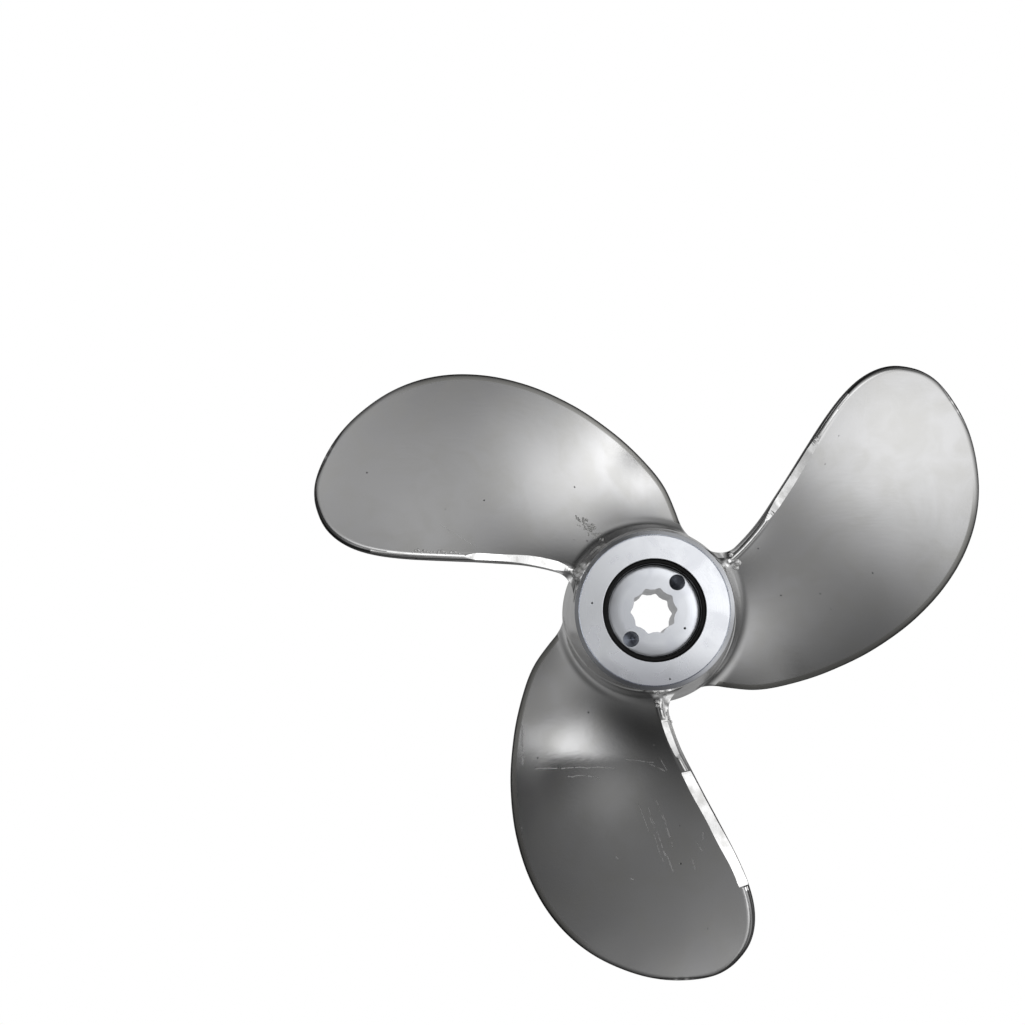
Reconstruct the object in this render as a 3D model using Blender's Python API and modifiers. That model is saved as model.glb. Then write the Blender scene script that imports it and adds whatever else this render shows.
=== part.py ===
"""Three-blade boat propeller: a cast hub with its blades, a rubber bush and a splined insert.

The shaft axis is Y and the origin is the middle of the forward hub face, where the thrust
washer bears. The aft face, which the nut side shows, looks along -Y. Blade angles are
measured from +X towards +Z, as seen from aft.
"""
import math

import bmesh
import bpy
import numpy as np

MM = 0.001

# Driving dimensions, in millimetres and degrees
DIAMETER = 190.0
PITCH = 178.0
BLADES = 3

HUB_LENGTH = 54.0
HUB_AFT_RADIUS = 20.5
HUB_FORWARD_RADIUS = 24.6
HUB_CHAMFER = 0.9
RIM_LAND_LENGTH = 2.6
RIM_STEP = 0.35
HUB_BORE_RADIUS = 13.2
FORWARD_RECESS_RADIUS = 17.0
FORWARD_RECESS_DEPTH = 1.5

BUSH_OUTER_RADIUS = 12.9
BUSH_AFT_INSET = 0.6
SEAT_GAP = 0.3

INSERT_RECESS = 5.0
INSERT_FLANGE_RADIUS = 12.0
INSERT_FLANGE_THICKNESS = 8.0
INSERT_SLEEVE_RADIUS = 8.6
INSERT_CHAMFER = 0.4
SPLINE_TEETH = 10
SPLINE_MAJOR_RADIUS = 6.05
SPLINE_MINOR_RADIUS = 5.5
SPLINE_GROOVE_ANGLE = 3.6
SPLINE_GROOVE_FLAT = 3.0
SPLINE_CREST_FLAT = 10.0

PIN_HOLE_RADIUS = 1.95
PIN_HOLE_CIRCLE_RADIUS = 9.5
PIN_HOLE_DEPTH = 5.0
PIN_HOLE_POINT = 1.1
PIN_HOLE_ANGLE = 51.0

# Each row is a radius, then the leading and the trailing edge's angle there
BLADE_PLAN = (
    (19.0, -58.5, 31.5),
    (26.0, -49.3, 34.3),
    (30.0, -43.3, 36.1),
    (35.0, -36.9, 38.4),
    (42.0, -27.5, 41.7),
    (50.0, -18.6, 44.5),
    (60.0, -9.5, 47.0),
    (70.0, -1.3, 48.4),
    (78.0, 5.4, 48.4),
    (84.0, 11.1, 47.3),
    (88.0, 15.8, 45.7),
    (91.0, 20.5, 43.6),
    (93.0, 25.0, 41.6),
    (94.5, 29.8, 38.7),
    (95.0, 34.2, 34.2),
)
BLADE_MID_FROM_AFT = 24.0
ROOT_THICKNESS = 7.0
TIP_THICKNESS = 2.2
TRAILING_ROOT_THICKNESS = 2.8
TRAILING_TIP_THICKNESS = 1.6
TRAILING_BEVEL = 1.6
BEVEL_SPUR = 0.33
BEVEL_HEIGHT = 0.67
LEADING_THICKNESS = 1.5
FACE_FILLET = 3.5
BACK_FILLET = 6.0
ROOT_SINK = 1.2
TIP_CLOSING_BEND = 88.0

# How finely the round and lofted shapes are divided
HUB_STEPS = 72
INSERT_STEPS = 60
PIN_HOLE_STEPS = 20
CHORD_STEPS = 12
FILLET_STATIONS = 5
SPAN_STATIONS = 18

ALUMINIUM = ((0.60, 0.60, 0.60, 1.0), 0.38, 1.0)
RUBBER = ((0.012, 0.012, 0.013, 1.0), 0.75, 0.0)
STEEL = ((0.55, 0.57, 0.60, 1.0), 0.30, 1.0)


def clear_scene():
    for old in list(bpy.data.objects):
        bpy.data.objects.remove(old, do_unlink=True)


def make_collection(name):
    collection = bpy.data.collections.new(name)
    bpy.context.scene.collection.children.link(collection)
    return collection


def make_material(name, look):
    color, roughness, metallic = look
    material = bpy.data.materials.new(name)
    material.use_nodes = True
    shader = material.node_tree.nodes["Principled BSDF"]
    shader.inputs["Base Color"].default_value = color
    shader.inputs["Roughness"].default_value = roughness
    shader.inputs["Metallic"].default_value = metallic
    material.diffuse_color = color
    return material


def add_object(name, mesh, collection, material=None):
    item = bpy.data.objects.new(name, mesh)
    collection.objects.link(item)
    if material:
        mesh.materials.append(material)
    return item


def hide_cutter(item):
    item.hide_render = True
    item.display_type = "WIRE"


def add_turned(name, profile, steps, collection, material=None):
    """Turn a closed (radius, y) outline, in millimetres, about the shaft axis."""
    bm = bmesh.new()
    corners = [bm.verts.new((radius * MM, y * MM, 0.0)) for radius, y in profile]
    for first, second in zip(corners, corners[1:] + corners[:1]):
        bm.edges.new((first, second))
    mesh = bpy.data.meshes.new(name)
    bm.to_mesh(mesh)
    bm.free()
    item = add_object(name, mesh, collection, material)
    screw = item.modifiers.new("Turn", "SCREW")
    screw.axis = "Y"
    screw.steps = steps
    screw.render_steps = steps
    screw.use_merge_vertices = True
    screw.merge_threshold = 0.00001
    return item


def apply_modifiers(item):
    """Keep the evaluated mesh, with its faces turned outward."""
    graph = bpy.context.evaluated_depsgraph_get()
    mesh = bpy.data.meshes.new_from_object(item.evaluated_get(graph))
    item.modifiers.clear()
    item.data = mesh
    bm = bmesh.new()
    bm.from_mesh(mesh)
    bmesh.ops.recalc_face_normals(bm, faces=bm.faces)
    bm.to_mesh(mesh)
    bm.free()
    return item


def add_boolean(item, other, operation):
    cut = item.modifiers.new(other.name, "BOOLEAN")
    cut.operation = operation
    cut.solver = "EXACT"
    cut.object = other
    return cut


def smooth_curve(knots, values, at):
    """A smooth curve through the values, with slopes taken from the neighbouring knots."""
    knots = np.asarray(knots, float)
    values = np.asarray(values, float)
    slopes = np.gradient(values, knots)
    k = np.clip(np.searchsorted(knots, at) - 1, 0, len(knots) - 2)
    span = knots[k + 1] - knots[k]
    t = (at - knots[k]) / span
    rise = values[k] * (1 + 2 * t) * (1 - t) ** 2 + values[k + 1] * t * t * (3 - 2 * t)
    lean = slopes[k] * t * (1 - t) ** 2 - slopes[k + 1] * t * t * (1 - t)
    return rise + span * lean


def edge_angles(radius):
    """The leading and trailing edge's angles, smooth up to the rounded tip."""
    tip = DIAMETER / 2
    rows = np.array(BLADE_PLAN)[::-1]
    knots = np.sqrt(tip - rows[:, 0])
    at = math.sqrt(max(tip - radius, 0.0))
    return smooth_curve(knots, rows[:, 1], at), smooth_curve(knots, rows[:, 2], at)


def hub_radius(y):
    """The barrel's radius at a height y along the shaft, which is 0 at the forward face."""
    share = min(max((y + HUB_LENGTH) / HUB_LENGTH, 0.0), 1.0)
    return HUB_AFT_RADIUS + (HUB_FORWARD_RADIUS - HUB_AFT_RADIUS) * share


def along_span(radius, root_value, tip_value):
    share = (radius - HUB_AFT_RADIUS) / (DIAMETER / 2 - HUB_AFT_RADIUS)
    return root_value + (tip_value - root_value) * min(max(share, 0.0), 1.0)


def section_points(radius):
    """One blade section as (chord position, thickness offset, outward normal) points.

    The chord position runs in millimetres from the leading edge. The aft face is the helix
    itself, the forward side is crowned, and a bevel cuts the trailing edge on the aft side.
    """
    leading_angle, trailing_angle = edge_angles(radius)
    slope = math.atan2(PITCH, 2 * math.pi * radius)
    chord = radius * math.radians(trailing_angle - leading_angle) / math.cos(slope)
    full = along_span(radius, ROOT_THICKNESS, TIP_THICKNESS)
    trailing = along_span(radius, TRAILING_ROOT_THICKNESS, TRAILING_TIP_THICKNESS)
    leading = LEADING_THICKNESS
    nose = min(leading / 2, chord / 4)
    bevel = min(TRAILING_BEVEL, chord / 4)
    points = [(0.0, leading / 2, (-1.0, 0.0))]
    for i in range(CHORD_STEPS + 1):
        points.append((nose + (chord - bevel - nose) * i / CHORD_STEPS, 0.0, (0.0, -1.0)))
    points.append((chord - bevel * BEVEL_SPUR, trailing * BEVEL_HEIGHT, (1.0, 0.0)))
    for i in range(CHORD_STEPS, -1, -1):
        share = i / CHORD_STEPS
        edge = leading + (trailing - leading) * share
        crown = (full - edge) * 4 * share * (1 - share)
        points.append((nose + (chord - nose) * share, edge + crown, (0.0, 1.0)))
    return points


def place_on_blade(radius, angle, offset, turn):
    """A point on the helix at this radius, moved by offset towards the forward side."""
    slope = math.atan2(PITCH, 2 * math.pi * radius)
    around = math.radians(angle + turn) + offset * math.sin(slope) / radius
    y = BLADE_MID_FROM_AFT - HUB_LENGTH - PITCH * angle / 360 + offset * math.cos(slope)
    return radius * math.cos(around) * MM, y * MM, radius * math.sin(around) * MM


def fillet_growth(height, fillet):
    """How far the root fillet stands out from the blade at this height above the barrel."""
    rise = min(max(fillet - height, 0.0), fillet)
    return fillet - math.sqrt(fillet ** 2 - rise ** 2)


def blade_ring(height, share_out, turn):
    """One closed ring of blade points, at a height above the barrel or a share of the span."""
    tip = DIAMETER / 2
    lead_y = BLADE_MID_FROM_AFT - HUB_LENGTH - PITCH * BLADE_PLAN[1][1] / 360
    trail_y = BLADE_MID_FROM_AFT - HUB_LENGTH - PITCH * BLADE_PLAN[1][2] / 360
    root_section = section_points(HUB_FORWARD_RADIUS)
    root_chord = root_section[CHORD_STEPS + 3][0]
    places = []
    for k, (root_position, _, _) in enumerate(root_section):
        share = root_position / root_chord
        root = hub_radius(lead_y) * (1 - share) + hub_radius(trail_y) * share + height
        radius = root + (tip - root) * share_out
        position, offset, (along, out) = section_points(radius)[k]
        fillet = FACE_FILLET + (BACK_FILLET - FACE_FILLET) * share if out > 0 else FACE_FILLET
        growth = fillet_growth(height, fillet) if share_out == 0.0 else 0.0
        slope = math.atan2(PITCH, 2 * math.pi * radius)
        slide = math.degrees((position + along * growth) * math.cos(slope) / radius)
        angle = edge_angles(radius)[0] + slide
        places.append(place_on_blade(radius, angle, offset + out * growth, turn))
    return places


def add_blade(number, collection):
    """Loft a blade from inside the barrel out to its tip."""
    turn = number * 360 / BLADES
    rings = [blade_ring(-ROOT_SINK, 0.0, turn)]
    for i in range(FILLET_STATIONS + 1):
        bend = math.radians(90 * i / FILLET_STATIONS)
        rings.append(blade_ring(BACK_FILLET * (1 - math.cos(bend)), 0.0, turn))
    for i in range(1, SPAN_STATIONS + 1):
        share = math.sin(math.radians(TIP_CLOSING_BEND * i / SPAN_STATIONS))
        rings.append(blade_ring(BACK_FILLET, share, turn))
    bm = bmesh.new()
    loops = [[bm.verts.new(place) for place in ring] for ring in rings]
    count = len(loops[0])
    for inner, outer in zip(loops, loops[1:]):
        for i in range(count):
            j = (i + 1) % count
            bm.faces.new((inner[i], inner[j], outer[j], outer[i]))
    bm.faces.new(loops[0])
    bm.faces.new(loops[-1])
    bmesh.ops.triangulate(bm, faces=bm.faces)
    bmesh.ops.recalc_face_normals(bm, faces=bm.faces)
    mesh = bpy.data.meshes.new(f"blade_{number}")
    bm.to_mesh(mesh)
    bm.free()
    item = add_object(f"blade_{number}", mesh, collection)
    hide_cutter(item)
    return item


def add_casting(parts, cutters):
    """The barrel and its blades, one casting, with the bush's bore through it."""
    aft = -HUB_LENGTH
    land_end = aft + HUB_CHAMFER + RIM_LAND_LENGTH
    profile = (
        (HUB_BORE_RADIUS, aft),
        (HUB_AFT_RADIUS - HUB_CHAMFER, aft),
        (HUB_AFT_RADIUS, aft + HUB_CHAMFER),
        (HUB_AFT_RADIUS, land_end),
        (hub_radius(land_end) - RIM_STEP, land_end + RIM_STEP),
        (HUB_FORWARD_RADIUS, -HUB_CHAMFER),
        (HUB_FORWARD_RADIUS - HUB_CHAMFER, 0.0),
        (FORWARD_RECESS_RADIUS, 0.0),
        (FORWARD_RECESS_RADIUS, -FORWARD_RECESS_DEPTH),
        (HUB_BORE_RADIUS, -FORWARD_RECESS_DEPTH),
    )
    material = make_material("cast_aluminium", ALUMINIUM)
    casting = apply_modifiers(add_turned("propeller_casting", profile, HUB_STEPS, parts, material))
    for number in range(BLADES):
        add_boolean(casting, add_blade(number, cutters), "UNION")
    return casting


def add_bush(parts):
    """The rubber bush round the insert: a thin lip at the flange, thick behind it."""
    aft = -HUB_LENGTH
    flange_back = aft + INSERT_RECESS + INSERT_FLANGE_THICKNESS
    inner = INSERT_SLEEVE_RADIUS + SEAT_GAP
    profile = (
        (INSERT_FLANGE_RADIUS + SEAT_GAP, aft + BUSH_AFT_INSET),
        (BUSH_OUTER_RADIUS, aft + BUSH_AFT_INSET),
        (BUSH_OUTER_RADIUS, -FORWARD_RECESS_DEPTH - BUSH_AFT_INSET),
        (inner, -FORWARD_RECESS_DEPTH - BUSH_AFT_INSET),
        (inner, flange_back + SEAT_GAP),
        (INSERT_FLANGE_RADIUS + SEAT_GAP, flange_back + SEAT_GAP),
    )
    material = make_material("bush_rubber", RUBBER)
    return apply_modifiers(add_turned("rubber_bush", profile, HUB_STEPS, parts, material))


def add_spline_cutter(cutters):
    """A ribbed bar that cuts the spline's V grooves and leaves its low, wide teeth."""
    pitch_angle = 360 / SPLINE_TEETH
    flank_foot = (pitch_angle - SPLINE_CREST_FLAT) / 2
    outline = []
    for tooth in range(SPLINE_TEETH):
        middle = SPLINE_GROOVE_ANGLE + tooth * pitch_angle
        outline.append((SPLINE_MINOR_RADIUS, middle - flank_foot))
        outline.append((SPLINE_MAJOR_RADIUS, middle - SPLINE_GROOVE_FLAT / 2))
        outline.append((SPLINE_MAJOR_RADIUS, middle + SPLINE_GROOVE_FLAT / 2))
        outline.append((SPLINE_MINOR_RADIUS, middle + flank_foot))
    bm = bmesh.new()
    corners = []
    for radius, angle in outline:
        around = math.radians(angle)
        place = (radius * math.cos(around) * MM, -2 * HUB_LENGTH * MM, radius * math.sin(around) * MM)
        corners.append(bm.verts.new(place))
    face = bm.faces.new(corners)
    swept = bmesh.ops.extrude_face_region(bm, geom=[face])
    moved = [item for item in swept["geom"] if isinstance(item, bmesh.types.BMVert)]
    bmesh.ops.translate(bm, verts=moved, vec=(0.0, 3 * HUB_LENGTH * MM, 0.0))
    bmesh.ops.recalc_face_normals(bm, faces=bm.faces)
    mesh = bpy.data.meshes.new("spline_cutter")
    bm.to_mesh(mesh)
    bm.free()
    cutter = add_object("spline_cutter", mesh, cutters)
    hide_cutter(cutter)
    return cutter


def add_pin_hole_cutter(number, cutters):
    """A drill with a cone point, standing in the aft face of the insert's flange."""
    bottom = -HUB_LENGTH + INSERT_RECESS + PIN_HOLE_DEPTH
    profile = (
        (0.0, bottom + PIN_HOLE_POINT),
        (PIN_HOLE_RADIUS, bottom),
        (PIN_HOLE_RADIUS, -HUB_LENGTH - 1.0),
        (0.0, -HUB_LENGTH - 1.0),
    )
    cutter = add_turned(f"pin_drill_{number}", profile, PIN_HOLE_STEPS, cutters)
    apply_modifiers(cutter)
    around = math.radians(PIN_HOLE_ANGLE + 180 * number)
    reach = PIN_HOLE_CIRCLE_RADIUS * MM
    cutter.location = (reach * math.cos(around), 0.0, reach * math.sin(around))
    hide_cutter(cutter)
    return cutter


def add_insert(parts, cutters):
    """The metal insert, set back in the hub: a flange, a sleeve, a spline and two blind holes."""
    aft = -HUB_LENGTH + INSERT_RECESS
    flange_back = aft + INSERT_FLANGE_THICKNESS
    profile = (
        (0.0, aft),
        (INSERT_FLANGE_RADIUS - INSERT_CHAMFER, aft),
        (INSERT_FLANGE_RADIUS, aft + INSERT_CHAMFER),
        (INSERT_FLANGE_RADIUS, flange_back),
        (INSERT_SLEEVE_RADIUS, flange_back),
        (INSERT_SLEEVE_RADIUS, -INSERT_CHAMFER),
        (INSERT_SLEEVE_RADIUS - INSERT_CHAMFER, 0.0),
        (0.0, 0.0),
    )
    material = make_material("insert_steel", STEEL)
    insert = apply_modifiers(add_turned("splined_insert", profile, INSERT_STEPS, parts, material))
    add_boolean(insert, add_spline_cutter(cutters), "DIFFERENCE")
    for number in range(2):
        add_boolean(insert, add_pin_hole_cutter(number, cutters), "DIFFERENCE")
    return insert


clear_scene()
parts = make_collection("boat_propeller")
cutters = make_collection("cutters")
add_casting(parts, cutters)
add_bush(parts)
add_insert(parts, cutters)
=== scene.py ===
"""The looks of a three-blade boat propeller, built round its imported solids.

The shaft axis is Y. The aft face, which the photograph shows, looks along -Y, and the
origin is the middle of the forward hub face. Blade angles run from +X towards +Z.
"""
import math

import bmesh
import bpy
import numpy as np
from mathutils import Matrix, Vector, kdtree


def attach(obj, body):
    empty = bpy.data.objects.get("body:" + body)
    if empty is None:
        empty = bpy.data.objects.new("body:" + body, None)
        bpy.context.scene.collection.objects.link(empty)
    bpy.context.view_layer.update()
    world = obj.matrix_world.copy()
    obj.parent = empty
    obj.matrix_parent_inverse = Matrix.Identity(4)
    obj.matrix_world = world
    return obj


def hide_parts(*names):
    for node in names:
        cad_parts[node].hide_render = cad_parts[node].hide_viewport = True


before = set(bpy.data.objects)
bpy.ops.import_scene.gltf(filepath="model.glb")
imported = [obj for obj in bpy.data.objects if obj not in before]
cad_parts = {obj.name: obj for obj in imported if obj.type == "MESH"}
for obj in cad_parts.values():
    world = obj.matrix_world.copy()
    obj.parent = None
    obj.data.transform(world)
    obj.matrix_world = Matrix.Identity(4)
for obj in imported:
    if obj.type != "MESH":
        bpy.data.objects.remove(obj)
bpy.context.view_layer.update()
MM = 0.001

# The casting: a tapered barrel and three blades, poured as one piece of aluminium alloy,
# blasted, dressed by hand along the trailing edges and left bare. Only the hub's two ends,
# the land round its aft rim and its bore are turned on a lathe.
HUB_LENGTH = 54.0
HUB_AFT_RADIUS = 20.5
HUB_FORWARD_RADIUS = 24.6
HUB_BORE_RADIUS = 13.2
HUB_CHAMFER = 0.9
HUB_LAND = 2.6
HUB_STEP = 0.35
FACE_CROWN = 0.28
RIM_GROOVE_WIDTH = 0.3
RIM_DROP = 0.42
RIM_GROOVE_DEPTH = 0.22
FORWARD_RECESS_RADIUS = 17.0
FORWARD_RECESS_DEPTH = 1.5
BARREL_STEPS = 240
BARREL_RINGS = (-46.0, -42.0, -38.0, -34.0, -30.0, -26.0, -22.0, -18.0, -14.0, -10.0, -6.0)

BLADE_COUNT = 3
BLADE_TIP_RADIUS = 95.0
BLADE_PITCH = 178.0
BLADE_MID_FROM_AFT = 24.0
BLADE_PLAN = (
    (19.0, -58.5, 31.5),
    (26.0, -49.3, 34.3),
    (30.0, -43.3, 36.1),
    (35.0, -36.9, 38.4),
    (42.0, -27.5, 41.7),
    (50.0, -18.6, 44.5),
    (60.0, -9.5, 47.0),
    (70.0, -1.3, 48.4),
    (78.0, 5.4, 48.4),
    (84.0, 11.1, 47.3),
    (88.0, 15.8, 45.7),
    (91.0, 20.5, 43.6),
    (93.0, 25.0, 41.6),
    (94.5, 29.8, 38.7),
    (95.0, 34.2, 34.2),
)
ROOT_THICKNESS = 7.0
TIP_THICKNESS = 2.2
TRAILING_ROOT_THICKNESS = 2.8
TRAILING_TIP_THICKNESS = 1.6
TRAILING_BEVEL = 1.6
LEADING_THICKNESS = 1.5
TIP_ROUNDING = 1.1
FACE_FILLET = 3.5
BACK_FILLET = 6.0
ROOT_SINK = 0.8

FACE_POINTS = 44
NOSE_POINTS = 9
FILLET_STATIONS = 16
SPAN_STATIONS = 130
TIP_CLOSING_BEND = 89.2

# The cast trailing edge along the blade: bevel lengths back from the edge, thickness shares
TRAILING_SHAPE = (
    (-0.95, 0.00),
    (-0.72, 0.03),
    (-0.50, 0.09),
    (-0.30, 0.19),
    (-0.14, 0.32),
    (-0.04, 0.48),
    (0.00, 0.66),
    (-0.02, 0.82),
    (-0.08, 0.93),
    (-0.20, 0.99),
)

CASTING_SHARP_ANGLE = 24
OUTLINE_POINTS = 1500

# The cast finish, in mm: soft waves, blotches, grain, hand brushing, pores and scratches
CAST_COLOR = (0.82, 0.82, 0.825, 1.0)
CAST_STAIN = (0.79, 0.787, 0.775, 1.0)
NOSE_COLOR = (0.33, 0.325, 0.30, 1.0)
# Painted shade: near black laid along the blades' edges, into the pores and nicks, and over the teeth deep in the
# bore
PAINTED_SHADE_COLOR = (0.03, 0.03, 0.03, 1.0)
FRESH_METAL_COLOR = (0.96, 0.96, 0.96, 1.0)
CAST_ROUGHNESS = 0.22
CAST_WAVE_SIZE = 26.0
CAST_WAVE_HEIGHT = 0.24
CAST_BLOTCH_SIZE = 9.0
CAST_BLOTCH_HEIGHT = 0.014
CAST_GRAIN_SIZE = 0.45
CAST_GRAIN_HEIGHT = 0.004
BRUSH_STRETCH = (0.12, 1.0, 1.0)
BRUSH_SIZE = 0.9
BRUSH_HEIGHT = 0.006
NOSE_BAND = 1.7
NOSE_END = 86.0
BUFFED_PLACE = (-20.0, -46.0, -38.0)
BUFFED_REACH = 24.0
# How far in from a blade edge the painted edge shade reaches
EDGE_SHADE_BAND = 1.5
PIT_SPACING = 3.4
PIT_SIZE = 0.09
PIT_CHOICE = 0.86
PIT_DEPTH = 0.08
SCRATCH_DEPTH = 0.006
SCRATCH_ROUGHNESS = 0.45
SCRATCH_BREAK_SIZE = 1.6
SCRATCH_WOBBLE = 1.0
SCRATCH_WOBBLE_SIZE = 3.0
# Scratches seen from aft: from x and z, to x and z, half width
SCRATCHES = (
    (-54.8, 22.7, -45.6, 16.9, 0.16),
    (-1.0, -50.0, 3.6, -62.5, 0.20),
    (-0.4, -53.0, 5.6, -66.5, 0.22),
    (1.0, -48.5, 4.6, -58.0, 0.18),
    (2.6, -51.5, 5.4, -60.0, 0.20),
    (0.4, -57.0, 3.2, -64.5, 0.16),
    (-3.5, -49.0, -0.5, -57.0, 0.14),
    (-0.6, -38.9, 3.2, -40.6, 0.22),
    (-6.6, -37.9, 0.4, -38.6, 0.20),
    (2.0, -37.2, 3.8, -40.4, 0.16),
    (-21.9, -43.1, -17.5, -42.6, 0.18),
    (-16.6, -42.6, -13.0, -43.6, 0.20),
    (-31.0, -41.2, -8.0, -40.2, 0.14),
    (-9.3, -63.5, -8.8, -63.9, 0.24),
    (-5.4, -68.8, -4.8, -69.1, 0.26),
    (11.2, -58.6, 12.6, -61.0, 0.20),
    (10.2, -63.0, 10.9, -65.6, 0.22),
    (12.9, -56.0, 12.7, -58.0, 0.16),
    (-34.6, -29.0, -34.2, -40.0, 0.42),
)

# The turned ends and the ground strips
TURNED_COLOR = (0.84, 0.86, 0.90, 1.0)
TURNED_STAIN = (0.79, 0.81, 0.86, 1.0)
TURNED_BLOTCH_SIZE = 7.0
# Painted shade on the hub's aft face: it darkens towards this colour between these heights, with an uneven boundary
LOWER_SHADE_COLOR = (0.44, 0.45, 0.49, 1.0)
LOWER_SHADE_TOP = -7.0
LOWER_SHADE_BOTTOM = -17.0
LOWER_SHADE_UNEVEN = 5.0
TURNED_RING_SPACING = 0.22
TURNED_RING_HEIGHT = 0.004
TURNED_NICK_SPACING = 4.0
TURNED_GRAIN_HEIGHT = 0.002
GRIND_STRETCH = (1.0, 1.0, 0.25)
GRIND_SIZE = 0.5
GRIND_HEIGHT = 0.004
STRIP_FACING = -0.88
STRIP_REACH = 3.5
STRIP_DEPTH = 0.12
STRIP_OUTERMOST = 75.0
ROOT_BAND = 2.0
FAR_FROM_EDGE = 99.0

# The hand-ground strips: blade, from and to radius, width, and the length of its tapered end
GROUND_STRIPS = (
    (1, 22.0, 54.0, 1.75, 6.0),
    (2, 25.5, 41.0, 1.3, 3.0),
    (2, 41.6, 74.0, 2.3, 0.6),
    (0, 33.0, 66.0, 1.9, 9.0),
)
STRIP_STATIONS = 60
STRIP_WANDER = 0.08
STRIP_CLEARANCE = 2.0
STRIP_STEEPER = 0.35
STRIP_STEEPER_FROM = 58.0


def smooth_curve(knots, values, at):
    """A smooth curve through the values, with slopes taken from the neighbouring knots."""
    slopes = np.gradient(values, knots)
    k = np.clip(np.searchsorted(knots, at) - 1, 0, len(knots) - 2)
    span = knots[k + 1] - knots[k]
    t = (at - knots[k]) / span
    rise = values[k] * (1 + 2 * t) * (1 - t) ** 2 + values[k + 1] * t * t * (3 - 2 * t)
    lean = slopes[k] * t * (1 - t) ** 2 - slopes[k + 1] * t * t * (1 - t)
    return rise + span * lean


def blade_edges(radius):
    """The leading and trailing edge's angles at these radii."""
    rows = np.array(BLADE_PLAN)[::-1]
    knots = np.sqrt(BLADE_TIP_RADIUS - rows[:, 0])
    at = np.sqrt(np.maximum(BLADE_TIP_RADIUS - radius, 0.0))
    return smooth_curve(knots, rows[:, 1], at), smooth_curve(knots, rows[:, 2], at)


def barrel_radius(y):
    share = np.clip((y + HUB_LENGTH) / HUB_LENGTH, 0.0, 1.0)
    return HUB_AFT_RADIUS + (HUB_FORWARD_RADIUS - HUB_AFT_RADIUS) * share


def helix_y(angle):
    return BLADE_MID_FROM_AFT - HUB_LENGTH - BLADE_PITCH * angle / 360


def along_span(radius, root_value, tip_value):
    share = (radius - HUB_AFT_RADIUS) / (BLADE_TIP_RADIUS - HUB_AFT_RADIUS)
    return root_value + (tip_value - root_value) * np.clip(share, 0.0, 1.0)


def section_loop(radius_at):
    """One section's outline as arrays: chord position, thickness offset, outward direction.

    radius_at gives the radius for a share of the chord, so that a ring may follow the barrel.
    """
    rows = []

    def put(share, across, out):
        radius = radius_at(share)
        leading_angle, trailing_angle = blade_edges(radius)
        slope = np.arctan2(BLADE_PITCH, 2 * math.pi * radius)
        chord = radius * np.radians(trailing_angle - leading_angle) / np.cos(slope)
        full = along_span(radius, ROOT_THICKNESS, TIP_THICKNESS)
        trailing = along_span(radius, TRAILING_ROOT_THICKNESS, TRAILING_TIP_THICKNESS)
        nose = min(LEADING_THICKNESS, chord / 4)
        bevel = min(TRAILING_BEVEL, chord / 4)
        place, height = across(share, chord, full, trailing, nose, bevel)
        rows.append((radius, leading_angle, slope, place, height, out[0], out[1]))

    def face(share, chord, full, trailing, nose, bevel):
        return nose + (chord - bevel * 1.3 - nose) * share, 0.0

    def back(share, chord, full, trailing, nose, bevel):
        edge = LEADING_THICKNESS + (trailing - LEADING_THICKNESS) * share
        crown = (full - edge) * 4 * share * (1 - share)
        return nose + (chord - nose - bevel * 0.35) * share, edge + crown

    for i in range(FACE_POINTS + 1):
        bend = (1 - math.cos(math.pi * i / FACE_POINTS)) / 2
        put(0.5 * bend + 0.5 * i / FACE_POINTS, face, (0.0, -1.0))
    for k, (behind, height) in enumerate(TRAILING_SHAPE):
        turn = math.pi * (k + 0.5) / len(TRAILING_SHAPE)

        def edge(share, chord, full, trailing, nose, bevel, behind=behind, height=height):
            return chord + behind * bevel, height * trailing

        put(1.0, edge, (math.sin(turn), -math.cos(turn)))
    for i in range(FACE_POINTS, -1, -1):
        bend = (1 - math.cos(math.pi * i / FACE_POINTS)) / 2
        put(0.5 * bend + 0.5 * i / FACE_POINTS, back, (0.0, 1.0))
    for i in range(1, NOSE_POINTS):
        turn = math.pi * (0.5 - i / NOSE_POINTS)

        def tip(share, chord, full, trailing, nose, bevel, turn=turn):
            return nose - nose * math.cos(turn), LEADING_THICKNESS / 2 * (1 + math.sin(turn))

        put(0.0, tip, (-math.cos(turn), math.sin(turn)))
    return np.array(rows)


def on_blade(radius, angle, offset):
    """Points on the helix at these radii and angles, moved by offset to the forward side."""
    slope = np.arctan2(BLADE_PITCH, 2 * math.pi * radius)
    around = np.radians(angle) + offset * np.sin(slope) / radius
    y = helix_y(angle) + offset * np.cos(slope)
    return np.stack([radius * np.cos(around), y, radius * np.sin(around)], 1)


def blade_ring(height, share_out):
    """One ring of points round the blade, at a height above the barrel or a share of the span."""
    lead_y = helix_y(BLADE_PLAN[1][1])
    trail_y = helix_y(BLADE_PLAN[1][2])

    def radius_at(share):
        root = barrel_radius(lead_y) * (1 - share) + barrel_radius(trail_y) * share + height
        return root + (BLADE_TIP_RADIUS - root) * share_out

    rows = section_loop(radius_at)
    radius, leading, slope, place, offset, along, out = rows.T
    share = place / place.max()
    fillet = np.where(out > 0.5, FACE_FILLET + (BACK_FILLET - FACE_FILLET) * share, FACE_FILLET)
    rise = np.clip(fillet - height, 0.0, fillet)
    growth = (fillet - np.sqrt(fillet ** 2 - rise ** 2)) * (share_out == 0.0)
    middle = offset.max() / 2
    past = np.clip((radius - BLADE_TIP_RADIUS + TIP_ROUNDING) / TIP_ROUNDING, 0.0, 1.0)
    offset = middle + (offset - middle) * np.sqrt(1 - past ** 2)
    angle = leading + np.degrees((place + along * growth) * np.cos(slope) / radius)
    return on_blade(radius, angle, offset + out * growth)


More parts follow.
